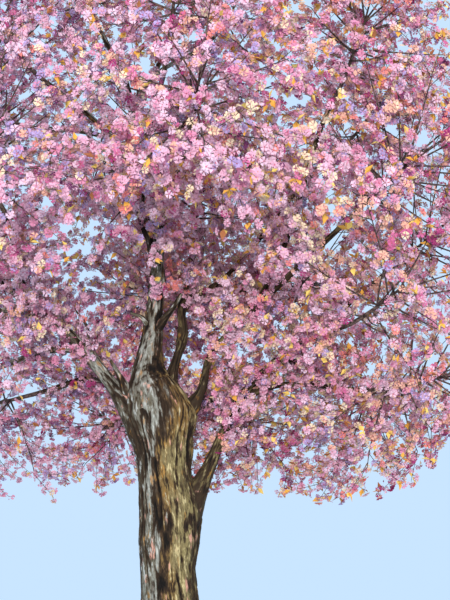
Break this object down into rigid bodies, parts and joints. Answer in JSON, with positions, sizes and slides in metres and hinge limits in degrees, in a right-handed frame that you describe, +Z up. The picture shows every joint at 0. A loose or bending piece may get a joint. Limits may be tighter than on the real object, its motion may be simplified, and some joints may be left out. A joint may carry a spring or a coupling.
{
  "type": "flowering cherry tree",
  "caption": "Flowering cherry tree in full bloom: a stout fluted trunk with root flare forks low into rising boughs that carry a broad rounded crown of pink blossom.",
  "frame": {"origin": "middle of the flat cut under the trunk, at ground level", "axes": "+Z up, -Y towards the front that the picture shows, +X to the right of that view"},
  "size_m": [7.4157, 7.2901, 8.8566],
  "materials": {
    "bark": "rough grey-brown bark with long dark fissures and touches of ochre",
    "rose_blossom": "soft matt petals, rose pink",
    "shell_pink_blossom": "soft matt petals, pale shell pink",
    "deep_pink_blossom": "soft matt petals, deep pink with magenta buds",
    "peach_blossom": "soft matt petals with young amber leaves among them"
  },
  "bodies": {
    "root": {"trunk": "bark", "bough_mid_left": "bark", "bough_top_left": "bark", "bough_mid_right_back": "bark", "bough_mid_right_front": "bark", "bough_mid_right": "bark", "bough_low_left_back": "bark", "bough_low_back_right": "bark", "bough_low_right": "bark", "bough_low_right_back": "bark", "bough_low_right_front": "bark", "bough_low_back_left": "bark", "bough_low_left": "bark", "bough_low_left_front": "bark", "bough_mid_left_back": "bark", "bough_mid_left_front": "bark", "bough_mid_back": "bark", "bough_mid_front": "bark", "bough_inner_back": "bark", "bough_inner_front": "bark", "bough_upper_right": "bark", "bough_upper_right_back": "bark", "bough_upper_left_back": "bark", "bough_upper_left": "bark", "bough_upper_left_front": "bark", "bough_upper_front": "bark", "bough_upper_right_front": "bark", "bough_top_right_back": "bark", "bough_top_right_front": "bark", "blossom_mid_left": "rose_blossom", "blossom_top_left": "shell_pink_blossom", "blossom_mid_right_back": "deep_pink_blossom", "blossom_mid_right_front": "peach_blossom", "blossom_mid_right": "rose_blossom", "blossom_low_left_back": "shell_pink_blossom", "blossom_low_back_right": "deep_pink_blossom", "blossom_low_right": "peach_blossom", "blossom_low_right_back": "rose_blossom", "blossom_low_right_front": "shell_pink_blossom", "blossom_low_back_left": "deep_pink_blossom", "blossom_low_left": "peach_blossom", "blossom_low_left_front": "rose_blossom", "blossom_mid_left_back": "shell_pink_blossom", "blossom_mid_left_front": "deep_pink_blossom", "blossom_mid_back": "peach_blossom", "blossom_mid_front": "rose_blossom", "blossom_inner_back": "shell_pink_blossom", "blossom_inner_front": "deep_pink_blossom", "blossom_upper_right": "peach_blossom", "blossom_upper_right_back": "rose_blossom", "blossom_upper_left_back": "shell_pink_blossom", "blossom_upper_left": "deep_pink_blossom", "blossom_upper_left_front": "peach_blossom", "blossom_upper_front": "rose_blossom", "blossom_upper_right_front": "shell_pink_blossom", "blossom_top_right_back": "deep_pink_blossom", "blossom_top_right_front": "peach_blossom"}
  },
  "joints": []
}
